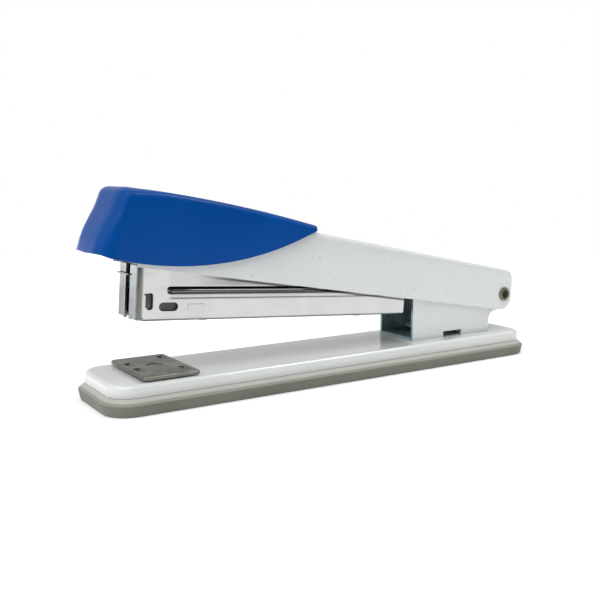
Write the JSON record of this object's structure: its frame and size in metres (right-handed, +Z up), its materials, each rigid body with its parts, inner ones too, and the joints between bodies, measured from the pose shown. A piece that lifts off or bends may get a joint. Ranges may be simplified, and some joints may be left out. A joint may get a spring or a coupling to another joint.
{
  "type": "desk stapler",
  "caption": "Half-strip desk stapler: pressed-steel base on a grey pad, hinged chrome staple magazine, swivelling anvil and a steel handle with a moulded blue cap.",
  "frame": {"origin": "centre of the base pad's flat underside, where the stapler stands on the table", "axes": "+X runs along the stapler from the nose to the hinge pin, +Y across it, +Z up"},
  "size_m": [0.1656, 0.0346, 0.0635],
  "materials": {
    "pad": "satin grey moulded plastic",
    "white_paint": "glossy white enamel on pressed steel",
    "blue_cap": "semi-gloss blue moulded plastic",
    "chrome": "bright plated sheet steel",
    "rail_steel": "zinc-plated steel",
    "anvil_steel": "dull brushed nickel on hardened steel",
    "spring_steel": "bright spring steel",
    "rivet_bronze": "dark nickel, flared tubular rivet",
    "button_plastic": "matt dark grey plastic"
  },
  "bodies": {
    "base": {"base_pad": "pad", "base_plate": "white_paint", "hinge_bracket": "white_paint", "bracket_rivets": "rail_steel", "hinge_pin": "rivet_bronze", "lift_spring": "spring_steel", "anvil_spring": "spring_steel"},
    "anvil_carrier": {"anvil_button": "button_plastic"},
    "anvil": {"anvil_plate": "anvil_steel", "anvil_post": "rail_steel"},
    "magazine": {"magazine_case": "chrome", "staple_rail": "rail_steel", "rail_rivets": "rail_steel", "rail_end_plate": "rail_steel", "guide_rod": "spring_steel", "follower_spring": "spring_steel", "spring_seat": "rail_steel", "handle_spring": "spring_steel"},
    "pusher": {"pusher": "rail_steel"},
    "handle": {"handle_shell": "white_paint", "handle_cap": "blue_cap", "driver_blade": "spring_steel", "driver_leaf": "rivet_bronze", "leaf_rivets": "white_paint"}
  },
  "joints": [
    {"name": "magazine_hinge", "type": "hinge", "parent": "base", "child": "magazine", "pos_m": [0.0741, 0, 0.02225], "axis": [0, 1, 0], "range_deg": [-5.05, 0], "stiffness_Nm_per_rad": 3, "springref_deg": 8.59, "deforming": ["lift_spring"]},
    {"name": "handle_hinge", "type": "hinge", "parent": "magazine", "child": "handle", "pos_m": [0.0741, 0, 0.02225], "axis": [0, 1, 0], "range_deg": [-4.95, 90], "deforming": ["handle_spring"]},
    {"name": "pusher_slide", "type": "slide", "parent": "magazine", "child": "pusher", "axis": [0.9976, 0, -0.0698], "range_m": [0, 0.062], "stiffness_N_per_m": 30, "springref_m": -0.03, "deforming": ["follower_spring"]},
    {"name": "anvil_lift", "type": "slide", "parent": "base", "child": "anvil_carrier", "axis": [0, 0, 1], "range_m": [0, 0.0015], "stiffness_N_per_m": 600, "springref_m": -0.005, "deforming": ["anvil_spring"]},
    {"name": "anvil_turn", "type": "hinge", "parent": "anvil_carrier", "child": "anvil", "pos_m": [-0.0624, 0, 0.0097], "axis": [0, 0, 1], "continuous": true}
  ]
}
